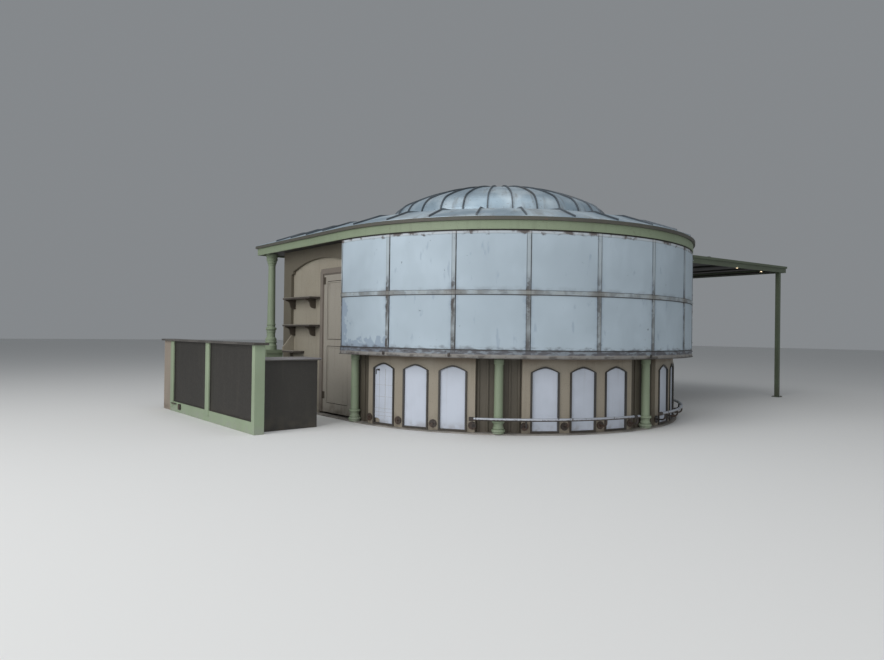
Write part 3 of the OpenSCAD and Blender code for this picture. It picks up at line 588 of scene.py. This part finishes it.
class Bench:
    """Modelling steps that the sub-assemblies share, all with Blender's own operators."""

    @staticmethod
    def clear() -> None:
        """Leaves edit mode and deselects everything."""
        if bpy.context.object and bpy.context.object.mode != "OBJECT":
            bpy.ops.object.mode_set(mode="OBJECT")
        bpy.ops.object.select_all(action="DESELECT")

    @staticmethod
    def select(piece: Any, keep: Callable[[Any], bool], mode: str = "FACE") -> None:
        """Enters edit mode with only some faces, edges or vertices selected.

        Args:
            piece: the mesh object.
            keep: says whether one of them is wanted.
            mode: FACE, EDGE or VERT.
        """
        bpy.ops.object.mode_set(mode="EDIT")
        bpy.ops.mesh.select_mode(type=mode)
        bpy.ops.mesh.select_all(action="DESELECT")
        mesh = bmesh.from_edit_mesh(piece.data)
        group = {"FACE": mesh.faces, "EDGE": mesh.edges, "VERT": mesh.verts}[mode]
        for item in group:
            if keep(item):
                item.select_set(True)
        mesh.select_flush_mode()
        bmesh.update_edit_mesh(piece.data)

    @staticmethod
    def start(scale: Sequence[float] = (1, 1, 1)) -> Any:
        """Sizes the primitive that was just added and applies its place.

        Args:
            scale: its size along its own axes.

        Returns:
            The piece.
        """
        piece = bpy.context.object
        piece.scale = scale
        Bench.settle(piece)
        return piece

    @staticmethod
    def settle(piece: Any) -> None:
        """Applies a piece's place, turn and scale and leaves it alone selected.

        Args:
            piece: the piece.
        """
        Bench.clear()
        piece.select_set(True)
        bpy.context.view_layer.objects.active = piece
        bpy.ops.object.transform_apply(location=True, rotation=True, scale=True)

    @staticmethod
    def block(low: Sequence[float], high: Sequence[float], edge: float) -> Any:
        """Makes a block with softened edges.

        Args:
            low: its lowest corner.
            high: its highest corner.
            edge: the width of its bevel.

        Returns:
            The piece.
        """
        Bench.clear()
        bpy.ops.mesh.primitive_cube_add(size=1, location=[(a + b) / 2 for a, b in zip(low, high)])
        piece = Bench.start([b - a for a, b in zip(low, high)])
        Bench.select(piece, every, "EDGE")
        bpy.ops.mesh.bevel(offset=edge, segments=2, affect="EDGES")
        Bench.clear()
        return piece

    @staticmethod
    def blocks(corners: Iterable[Corners], edge: float) -> list[Any]:
        """Returns a block between each pair of corners."""
        return [Bench.block(low, high, edge) for low, high in corners]

    @staticmethod
    def stud(radius: float, height: float, sides: int = 10) -> Any:
        """Makes a domed bolt head at the origin, standing along +X.

        Args:
            radius: its radius.
            height: its height.
            sides: how many sides it has.

        Returns:
            The piece.
        """
        Bench.clear()
        place, turn = (height / 2, 0, 0), (0, math.pi / 2, 0)
        bpy.ops.mesh.primitive_cylinder_add(
            vertices=sides, radius=radius, depth=height, location=place, rotation=turn
        )
        piece = Bench.start()
        Bench.select(piece, lambda face: face.normal.x > 0.9)
        bpy.ops.mesh.inset(thickness=radius * 0.3, depth=height * 0.35)
        Bench.clear()
        return piece

    @staticmethod
    def ring(size: Triple, arc: Pair, steps: int, tall: float = 1.0) -> Any:
        """Spins a round bead about the vertical axis.

        Args:
            size: the ring's radius, the bead's radius and the height of its centre.
            arc: where it starts and how far it goes.
            steps: how many steps the spin takes.
            tall: how much taller than wide the bead is.

        Returns:
            The piece.
        """
        Bench.clear()
        radius, tube, height = size
        place, turn = (radius, 0, height), (math.pi / 2, 0, 0)
        bpy.ops.mesh.primitive_circle_add(vertices=10, radius=tube, location=place, rotation=turn)
        piece = Bench.start((1, tall, 1))
        Bench.select(piece, every, "EDGE")
        bpy.ops.mesh.spin(steps=steps, angle=math.radians(arc[1]), center=(0, 0, 0), axis=(0, 0, 1))
        Bench.close(piece)
        piece.rotation_euler = (0, 0, math.radians(arc[0] - 90))
        Bench.settle(piece)
        return piece

    @staticmethod
    def frame(centre: Triple, size: Pair, width: float, depth: float) -> Any:
        """Makes a mitred moulding that lies on a wall facing -X.

        Args:
            centre: the middle of its back.
            size: its outer width along Y and height along Z.
            width: the moulding's width.
            depth: how far it stands out.

        Returns:
            The piece.
        """
        Bench.clear()
        bpy.ops.mesh.primitive_plane_add(size=1, location=centre, rotation=(0, -math.pi / 2, 0))
        piece = Bench.start((size[1], size[0], 1))
        Bench.select(piece, every)
        bpy.ops.mesh.inset(thickness=width)
        bpy.ops.mesh.delete(type="FACE")
        Bench.select(piece, every)
        bpy.ops.mesh.extrude_region_move(TRANSFORM_OT_translate={"value": (-depth, 0, 0)})
        Bench.close(piece)
        front = centre[0] - depth
        Bench.select(piece, lambda e: all(abs(v.co.x - front) < 1e-5 for v in e.verts), "EDGE")
        bpy.ops.mesh.bevel(offset=min(width, depth) * 0.4, segments=2, affect="EDGES")
        Bench.clear()
        return piece

    @staticmethod
    def close(piece: Any) -> None:
        """Merges doubles, caps open ends and turns every face outwards.

        Args:
            piece: the piece.
        """
        Bench.select(piece, every, "VERT")
        bpy.ops.mesh.remove_doubles(threshold=0.00005)
        bpy.ops.mesh.select_all(action="DESELECT")
        bpy.ops.mesh.select_non_manifold()
        bpy.ops.mesh.fill_holes(sides=0)
        bpy.ops.mesh.select_all(action="SELECT")
        bpy.ops.mesh.normals_make_consistent(inside=False)
        Bench.clear()

    @staticmethod
    def repeat(piece: Any, places: Iterable[Matrix]) -> Any:
        """Copies a piece to several places and joins the copies.

        Args:
            piece: the piece, which is used up.
            places: the matrix of each copy.

        Returns:
            One joined piece.
        """
        copies = []
        for matrix in places:
            twin = piece.copy()
            twin.data = piece.data.copy()
            bpy.context.collection.objects.link(twin)
            twin.data.transform(matrix)
            copies.append(twin)
        bpy.data.objects.remove(piece)
        return Bench.join(copies)

    @staticmethod
    def join(parts: Sequence[Any]) -> Any:
        """Joins several pieces into one.

        Args:
            parts: the pieces; all but the first are used up.

        Returns:
            The joined piece.
        """
        Bench.clear()
        for part in parts:
            part.select_set(True)
        bpy.context.view_layer.objects.active = parts[0]
        if len(parts) > 1:
            bpy.ops.object.join()
        return parts[0]


def around(angle: float, radius: float, height: float) -> Matrix:
    """Places a piece that stands along +X on the round front.

    Args:
        angle: how far it turns from the front.
        radius: its distance from the axis.
        height: its height.

    Returns:
        The matrix that takes it there.
    """
    return Matrix.Rotation(math.radians(angle - 90), 4, "Z") @ Matrix.Translation((radius, 0, height))


@dataclass
class Assembly:
    """What all sub-assemblies share: the palette, and how nodes and new pieces are dressed."""

    palette: Palette

    def dress(self, finish: str, *nodes: str) -> None:
        """Gives CAD nodes a finish.

        Args:
            finish: the finish's name.
            nodes: the nodes' names.
        """
        for name in nodes:
            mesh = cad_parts[name].data
            mesh.materials.clear()
            mesh.materials.append(self.palette[finish])

    def add(
        self, name: str, parts: Sequence[Any], finish: str, slot: str,
        places: Sequence[Matrix] = (), body: Body = Body.KIOSK, smooth: float = 35.0,
    ) -> None:
        """Makes one finished piece of some new parts.

        Args:
            name: the piece's name.
            parts: what it is joined from.
            finish: the finish's name.
            slot: not used.
            places: where copies of it go; with none it stays where it was made.
            body: the body it rides on.
            smooth: the angle in degrees under which its edges are shaded smooth.
        """
        piece = Bench.join(parts)
        if places:
            piece = Bench.repeat(piece, places)
        piece.name = name
        Bench.settle(piece)
        bpy.ops.object.shade_smooth_by_angle(angle=math.radians(smooth))
        piece.data.materials.clear()
        piece.data.materials.append(self.palette[finish])
        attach(piece, body.value)
        LOG.info("%s: %d faces on %s", piece.name, len(piece.data.polygons), body.value)


@dataclass
class Drum(Assembly):
    """The drum of sheets round the front, with its strips, rails and bolts."""

    face: float = 3.119
    joints: int = 10
    bolt: Pair = (0.0065, 0.006)
    rows: tuple[float, ...] = (1.18, 1.4, 1.66, 1.92, 2.18, 2.46)
    rails: tuple[float, ...] = (0.995, 1.05, 1.787)
    rail_step: float = 3.428
    latch: Corners = ((-0.002, -0.015, 0), (0.012, 0.015, 0.045))
    latch_joints: tuple[int, ...] = (1, 2, 5, 8, 9)
    latch_turn: float = -0.9
    latch_foot: float = 0.986

    def build(self) -> None:
        """Dresses the sheets and adds the bolts and the latches."""
        self.dress("sheet_steel", "drum_sheets", "cover_strips", "drum_rails")
        turns = [LEFT + SHEET * (i + 1) for i in range(self.joints)]
        places = [around(turn, self.face, z) for turn in turns for z in self.rows]
        steps = [LEFT + self.rail_step * (i + 0.5) for i in range(int(180 / self.rail_step))]
        places += [around(step, self.face, z) for step in steps for z in self.rails]
        self.add("drum_bolts", [Bench.stud(*self.bolt)], "sheet_steel", "sheet_steel", places)
        turns = [LEFT + self.latch_turn + SHEET * joint for joint in self.latch_joints]
        places = [around(turn, self.face, self.latch_foot) for turn in turns]
        self.add("drum_latches", [Bench.block(*self.latch, 0.002)], "iron", "dark_frame", places)


@dataclass
class LowWall(Assembly):
    """The arcaded wall under the drum."""

    panel: float = 2.831
    pier: float = 2.784
    batten: Corners = ((-0.002, -0.014, 0.016), (0.016, 0.014, 0.958))
    batten_turns: tuple[float, ...] = (-5.3, -2.9, 2.9, 5.3)
    wire_half: float = 0.001
    level_wires: tuple[float, ...] = (0.14, 0.19, 0.24, 0.4, 0.56)
    upright_wires: tuple[float, ...] = (-0.09, 0.02)
    reach: float = 0.162
    rise: Pair = (0.11, 0.78)
    clip: tuple[Corners, ...] = (
        ((-0.001, -0.13, 0.752), (0.008, -0.085, 0.776)),
        ((-0.001, -0.155, 0.7), (0.005, -0.143, 0.77)),
    )

    def build(self) -> None:
        """Dresses the wall, its arches, piers and sill, and adds battens, wires and a clip."""
        self.dress("wall_beige", *(f"bay_wall_{i}" for i in range(1, 5)))
        self.dress("dark_frame", "arch_frames")
        self.dress("white_panel", "arch_panels")
        self.dress("pier_brown", "pier_backs")
        self.dress("dark_brown", "sill")
        self.dress("concrete", "floor_slab", "plinth")
        self._battens()
        self._grid()

    def _battens(self) -> None:
        """Sets upright battens on the piers, beside each column."""
        turns = [LEFT + BAY * i + turn for i in range(5) for turn in self.batten_turns]
        places = [around(turn, self.pier, 0) for turn in turns if abs(turn) < 90]
        self.add("pier_battens", [Bench.block(*self.batten, 0.003)], "pier_brown", "dark_brown", places)

    def _grid(self) -> None:
        """Strings thin wires over the first arch's board, and leaves a broken clip at its top."""
        place = [around(LEFT + BAY / 2 - ARCH, self.panel, 0)]
        half = self.wire_half
        wires = [((-half, -self.reach, z - half), (half, self.reach, z + half)) for z in self.level_wires]
        low, high = self.rise
        wires += [((-half, y - half, low), (1.5 * half, y + half, high)) for y in self.upright_wires]
        self.add("panel_grid", Bench.blocks(wires, 0.0003), "wall_sand", "dark_brown", place)
        self.add("panel_clip", Bench.blocks(self.clip, 0.001), "iron", "dark_frame", place)


@dataclass
class Colonnade(Assembly):
    """The green columns and the pedestals at the rear corners."""

    axis: float = 2.859
    rear: Pair = (2.915, 2.57)
    foot_rings: tuple[Triple, ...] = ((0.071, 0.012, 0.165), (0.074, 0.014, 0.052))
    rear_rings: tuple[Triple, ...] = ((0.068, 0.01, 1.385), (0.075, 0.018, 1.312), (0.088, 0.012, 1.085))
    head_rings: tuple[Triple, ...] = ((0.068, 0.027, 0.088), (0.062, 0.018, 0.138), (0.057, 0.012, 0.176))
    pedestal: float = 0.3
    recess: float = 0.0151
    panel: Pair = (0.23, 0.7)
    panel_height: float = 0.44
    moulding: Pair = (0.02, 0.008)

    def build(self) -> None:
        """Dresses the columns, adds their turned rings and panels the pedestals."""
        self.dress("sage_post", "columns", "rear_columns")
        self.dress("sage_green", "pedestals")
        self._rings("column_rings", self.foot_rings, [around(LEFT + BAY * i, self.axis, 0) for i in range(5)])
        corners = [Matrix.Translation((side * self.rear[0], self.rear[1], 0)) for side in (-1, 1)]
        self._rings("rear_rings", self.rear_rings, corners)
        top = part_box("rear_columns")[1][2]
        heads = [(radius, bead, top - drop) for radius, bead, drop in self.head_rings]
        self._rings("rear_capitals", heads, corners)
        low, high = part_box("pedestals")
        panels = []
        for face in (low[0] + self.recess, high[0] - self.pedestal - self.recess):
            centre = (face, (low[1] + high[1]) / 2, self.panel_height)
            panels.append(Bench.frame(centre, self.panel, *self.moulding))
        self.add("pedestal_panels", panels, "sage_green", "sage_green")

    def _rings(self, name: str, rings: Iterable[Triple], places: Sequence[Matrix]) -> None:
        """Turns rings round several columns.

        Args:
            name: the piece's name.
            rings: the radius, the bead's radius and the height of each.
            places: the matrix of each column.
        """
        parts = [Bench.ring(ring, (0, 360), 24, 1.4) for ring in rings]
        self.add(name, parts, "sage_post", "sage_green", places, smooth=60.0)


@dataclass
class SideWalls(Assembly):
    """The straight walls, their blind arches and the shelves."""

    tops: tuple[Pair, ...] = ((1.1, 1.815), (1.1, 1.38), (1.61, 0.955))
    lip: float = 0.003
    sunk: float = 0.001
    thick: float = 0.005

    def build(self) -> None:
        """Dresses the walls and the shelves, and lays worn pale boards on the shelves."""
        # The surrounds and the rear wall take taupe paint darkened as painted shade.
        self.dress("wall_taupe_and_shade", "wall_surrounds", "rear_wall")
        self.dress("wall_sand", "left_wall", "left_door_head", "right_wall")
        self.dress("dark_brown", "shelves")
        self.dress("bracket_brown", "shelf_brackets")
        low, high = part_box("shelves")
        corners = [
            ((low[0] - self.lip, start - self.lip, top - self.sunk), (high[0], high[1], top + self.thick))
            for start, top in self.tops
        ]
        self.add("shelf_tops", Bench.blocks(corners, 0.001), "shelf_top", "dark_brown")


@dataclass
class Door(Assembly):
    """The panelled door, its frame and its furniture."""

    stile: float = 0.095
    foot: float = 0.14
    lock_rail: float = 1.06
    sunk: float = 0.0119
    bead: Pair = (0.02, 0.009)
    # A dark strip round each panel, painted shadow of the stile: its width and how far it stands out.
    shadow_line: Pair = (0.009, 0.0012)
    plate: Corners = ((-0.004, 0.03, 0.96), (0, 0.07, 1.16))
    knob: Triple = (-0.003, 0.05, 1.1)
    knob_size: Pair = (0.024, 0.04)

    def build(self) -> None:
        """Dresses the door and adds its mouldings and its lock."""
        self.dress("door_beige", "door_leaf")
        self.dress("casing", "door_frame")
        self.dress("bracket_brown", "door_hinges")
        self._mouldings()
        self._lock()

    def _mouldings(self) -> None:
        """Sets a bead round each of the two panels, inside a thin dark strip that is painted shadow of the
        stile's edge.
        """
        low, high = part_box("door_leaf")
        width = high[1] - low[1] - 2 * self.stile
        gap, shadow = self.shadow_line
        lower = (low[2] + self.foot, self.lock_rail)
        upper = (self.lock_rail + self.stile, high[2] - self.stile)
        beads, shadow_lines = [], []
        for start, end in (lower, upper):
            centre = (low[0] + self.sunk, (low[1] + high[1]) / 2, (start + end) / 2)
            tall = end - start
            # Painted shadow: a thin dark strip where the stile's edge shades the panel.
            shadow_lines.append(Bench.frame(centre, (width, tall), gap + 0.002, shadow))
            beads.append(Bench.frame(centre, (width - 2 * gap, tall - 2 * gap), *self.bead))
        self.add("door_mouldings", beads, "door_beige", "door_beige", body=Body.DOOR)
        self.add("door_shadow_lines", shadow_lines, "dark_brown", "dark_brown", body=Body.DOOR)

    def _lock(self) -> None:
        """Adds the lock's plate and knob at the door's free edge."""
        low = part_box("door_leaf")[0]
        corner = Vector((low[0], low[1], 0))
        plate = Bench.block(*(corner + Vector(end) for end in self.plate), 0.0015)
        place = Matrix.Translation(corner + Vector(self.knob)) @ Matrix.Rotation(math.pi, 4, "Z")
        knob = Bench.repeat(Bench.stud(*self.knob_size, 20), [place])
        self.add("door_lock", [plate, knob], "iron", "dark_brown", body=Body.DOOR)


@dataclass
class Roof(Assembly):
    """The dome, the skirt, the eaves and their edge."""

    foot: Triple = (1.845, 0.02, 3.03)
    edge: float = 3.148
    bead: float = 0.012
    straight: float = 2.728
    clip_step: float = 11.25
    clip_half: float = 0.02

    def build(self) -> None:
        """Dresses the roof and adds the bead at the dome's foot and the edge's bead and clips."""
        self.dress("zinc", "roof_dome", "skirt_front", "skirt_rear", "roof_deck")
        self.dress("seam_zinc", "roof_seams")
        self.dress("roof_edge", "roof_edge")
        self.dress("sage_green", "fascia_front", "fascia_rear")
        # The soffit's near-black finish is dark brown paint with painted shade.
        self.dress("soffit", "soffit")
        self.add("dome_bead", [Bench.ring(self.foot, (LEFT, 180), 64)], "zinc", "zinc")
        self._bead()
        self._clips()

    def _bead(self) -> None:
        """Rolls the edge's foot round the front and straight back along both sides."""
        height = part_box("roof_edge")[0][2] + self.bead
        bead = Bench.ring((self.edge - self.bead, self.bead, height), (LEFT, 180), 96)
        Bench.select(bead, Roof._is_end)
        bpy.ops.mesh.extrude_region_move(TRANSFORM_OT_translate={"value": (0, self.straight, 0)})
        Bench.clear()
        self.add("edge_bead", [bead], "roof_edge", "zinc")

    @staticmethod
    def _is_end(face: Any) -> bool:
        """Wants the two flat ends of the bead on the round front."""
        return abs(face.normal.y) > 0.9 and abs(face.calc_center_median().y) < 1e-3

    def _clips(self) -> None:
        """Clips the edge at every seam of the round front."""
        low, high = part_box("roof_edge")
        ends = (-0.003, -self.clip_half, low[2] + 0.004), (-0.0005, self.clip_half, high[2] - 0.001)
        turns = [LEFT + self.clip_step * (i + 0.5) for i in range(int(180 / self.clip_step))]
        places = [around(turn, self.edge, 0) for turn in turns]
        self.add("edge_clips", [Bench.block(*ends, 0.001)], "zinc", "zinc", places)


@dataclass
class Canopy(Assembly):
    """The canopy at the right, with its battens and two lit lamps."""

    slope: float = 1.6
    half: float = 1.985
    battens: tuple[float, ...] = (3.55, 4.15, 4.75, 5.45, 6.2)
    batten_half: float = 0.03
    lamps: tuple[Pair, ...] = ((5.143, -1.76), (5.95, -1.9))
    shell: Pair = (0.035, 0.02)
    glass: Pair = (0.017, 0.008)
    foot: Pair = (0.022, 0.138)
    bolt: Pair = (0.011, 0.01)
    plate_top: float = 0.0115

    def build(self) -> None:
        """Dresses the canopy and adds battens under it, lamps and the bolts of its posts."""
        # The canopy's roof takes the soffit's near-black finish, dark brown with painted shade.
        self.dress("soffit", "canopy_roof")
        # The canopy's fascia and posts take the sage green darkened as painted shade.
        self.dress("canopy_green_and_shade", "canopy_fascia", "canopy_posts")
        half = self.batten_half
        corners = [
            ((x - half, -self.half, self._under(x) - 0.03), (x + half, self.half, self._under(x) + 0.002))
            for x in self.battens
        ]
        # The battens take the soffit's near-black finish, painted shade included.
        self.add("canopy_battens", Bench.blocks(corners, 0.004), "soffit", "dark_brown")
        self._lamps()
        self._bolts()

    def _under(self, x: float) -> float:
        """Returns the height of the canopy's underside at a distance to the right."""
        low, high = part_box("canopy_roof")
        return low[2] + (high[0] - x) * math.tan(math.radians(self.slope))

    def _lamps(self) -> None:
        """Hangs two round lamps under the canopy's front."""
        down = Matrix.Rotation(math.pi / 2, 4, "Y")
        places = [Matrix.Translation((x, y, self._under(x) + 0.003)) @ down for x, y in self.lamps]
        self.add("lamp_shells", [Bench.stud(*self.shell, 24)], "iron", "dark_brown", places)
        low = [Matrix.Translation((0, 0, -0.024)) @ place for place in places]
        self.add("lamp_glasses", [Bench.stud(*self.glass, 20)], "lamp_glass", "white_panel", low)

    def _bolts(self) -> None:
        """Bolts the posts' foot plates down."""
        low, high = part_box("canopy_posts")
        up = Matrix.Rotation(-math.pi / 2, 4, "Y")
        near, far = self.foot
        xs = (low[0] + near, high[0] - near)
        ys = (low[1] + near, low[1] + far, high[1] - far, high[1] - near)
        places = [Matrix.Translation((x, y, self.plate_top)) @ up for x in xs for y in ys]
        self.add("post_bolts", [Bench.stud(*self.bolt, 6)], "iron", "dark_frame", places)


@dataclass
class FootRail(Assembly):
    """The foot rail with its brackets and collars."""

    radius: float = 2.98
    height: float = 0.205
    ends: tuple[float, ...] = (-51, -6, 4.5, 50, 54, 84)
    collar: Pair = (0.0262, 1.1)
    flange: Triple = (2.8568, 0.036, 0.105)
    bolt: Pair = (0.0075, 0.006)

    def build(self) -> None:
        """Dresses the rail, adds a collar at each end and bolts the flanges."""
        self.dress("rail_metal", "foot_rail")
        self.dress("iron", "rail_brackets")
        tube, wide = self.collar
        collars = []
        for i, end in enumerate(self.ends):
            start = end - wide * (i % 2)
            collars.append(Bench.ring((self.radius, tube, self.height), (start, wide), 3))
        self.add("rail_collars", collars, "iron", "dark_frame")
        face, out, middle = self.flange
        spots = [(-out, 0), (out, 0), (0, out), (0, -out)]
        turns = [LEFT + BAY * (bay + 0.5) + ARCH * (gap - 1.5) for bay in range(4) for gap in range(4)]
        places = [
            around(turn, 0, 0) @ Matrix.Translation((face, y, middle + z)) for turn in turns for y, z in spots
        ]
        self.add("flange_bolts", [Bench.stud(*self.bolt, 6)], "iron", "dark_frame", places)


@dataclass
class OutdoorBar(Assembly):
    """The long bar and the low counter at the left."""

    front: float = -4.48
    rail: float = 0.15
    top: float = 1.097
    bead: Pair = (0.014, 0.011)
    cover_out: float = 0.029
    cover_foot: float = 0.07
    covers: tuple[Pair, ...] = ((1.175, 1.305), (2.655, 2.7835))
    bays: tuple[Pair, ...] = ((-0.22, 1.175), (1.305, 2.655))
    sheet: Corners = ((-4.368, -0.168, 0.906), (-3.502, 0.328, 0.9235))
    outlet: Corners = ((-4.528, 2.3, 0.05), (-4.499, 2.37, 0.135))
    arm: Corners = ((-4.53, 2.5, 0.118), (-4.499, 2.69, 0.13))

    def build(self) -> None:
        """Dresses the bar and adds cover boards, beads, the counter's sheet and a small box at its foot."""
        self.dress("bar_green", "bar_frame")
        self.dress("bar_board", "bar_panels")
        self.dress("counter_board", "low_bar")
        self.dress("pier_sand", "bar_pier")
        self.dress("bar_top", "bar_tops")
        tall = self.top - self.rail
        beads = []
        for start, end in self.bays:
            centre = (self.front + 0.0005, (start + end) / 2, (self.rail + self.top) / 2)
            beads.append(Bench.frame(centre, (end - start, tall), *self.bead))
        self.add("bar_beads", beads, "bar_board", "dark_brown")
        corners = [
            ((self.front - self.cover_out, start, self.cover_foot), (self.front, end, self.top - 0.001))
            for start, end in self.covers
        ]
        self.add("bar_covers", Bench.blocks(corners, 0.003), "bar_green", "sage_green")
        self.add("counter_sheet", [Bench.block(*self.sheet, 0.002)], "counter_grey", "dark_brown")
        outlet = [Bench.block(*self.outlet, 0.004), Bench.block(*self.arm, 0.002)]
        self.add("bar_outlet", outlet, "iron", "dark_frame")


@dataclass(frozen=True)
class SoftLight:
    """One broad lamp of the studio, with its width and its power in watts."""

    name: str
    spot: Triple
    aim: Triple
    size: float
    power: float

    def hang(self) -> None:
        """Adds the lamp to the scene."""
        lamp = bpy.data.lights.new(self.name, "AREA")
        lamp.size = self.size
        lamp.energy = self.power
        holder = bpy.data.objects.new(self.name, lamp)
        holder.location = self.spot
        holder.rotation_euler = (Vector(self.aim) - Vector(self.spot)).to_track_quat("-Z", "Y").to_euler()
        bpy.context.collection.objects.link(holder)


@dataclass
class Studio:
    """Floor, light and camera."""

    place: Triple = (-7.822, -7.643, 1.27)
    yaw: float = -40.725
    pitch: float = 90.32
    roll: float = 0.784
    lens: float = 25.86
    sensor: float = 36.0
    floor: Rgb = (0.74, 0.74, 0.73)
    sky: Rgb = (0.9, 0.95, 1.0)
    sky_power: float = 0.26
    lights: tuple[SoftLight, ...] = (
        SoftLight("key", (-16, -2.5, 7), (0, 0, 1.5), 11.0, 1380.0),
        SoftLight("fill", (-7, -16, 6), (0, 0, 1.5), 10.0, 390.0),
        SoftLight("top", (-4, -4, 15), (0, 0, 0), 13.0, 700.0),
    )

    def build(self) -> None:
        """Sets the stage."""
        self._floor()
        self._light()
        self._camera()

    def _floor(self) -> None:
        """Lays a plain pale floor."""
        Bench.clear()
        bpy.ops.mesh.primitive_plane_add(size=160, location=(0, 0, -0.001))
        ground = bpy.context.object
        ground.name = "studio_floor"
        ground.data.materials.append(Graph("studio_floor", self.floor).finish(0.9, None, 0.0))

    def _light(self) -> None:
        """Adds an even sky and the broad soft lamps."""
        world = bpy.data.worlds.new("studio_sky")
        bpy.context.scene.world = world
        world.use_nodes = True
        back = world.node_tree.nodes["Background"]
        back.inputs[0].default_value = (*self.sky, 1.0)
        back.inputs[1].default_value = self.sky_power
        for light in self.lights:
            light.hang()

    def _camera(self) -> None:
        """Places the camera."""
        data = bpy.data.cameras.new("camera")
        data.lens = self.lens
        data.sensor_width = self.sensor
        data.sensor_fit = "HORIZONTAL"
        data.clip_end = 300.0
        camera = bpy.data.objects.new("camera", data)
        turn = Euler((math.radians(self.pitch), 0, math.radians(self.yaw)), "XYZ").to_matrix()
        turn = turn @ Matrix.Rotation(math.radians(self.roll), 3, "Z")
        camera.matrix_world = Matrix.Translation(self.place) @ turn.to_4x4()
        bpy.context.collection.objects.link(camera)
        bpy.context.scene.camera = camera
        bpy.context.scene.view_settings.view_transform = "Standard"


def main() -> None:
    """Builds the studio and every sub-assembly in order."""
    logging.basicConfig(level=logging.INFO, format="%(message)s")
    Studio().build()
    palette = Palette()
    for part in (LowWall, Colonnade, SideWalls, Door, Drum, Roof, Canopy, FootRail, OutdoorBar):
        part(palette).build()
        LOG.info("%s done", part.__name__)


if __name__ == "__main__":
    main()
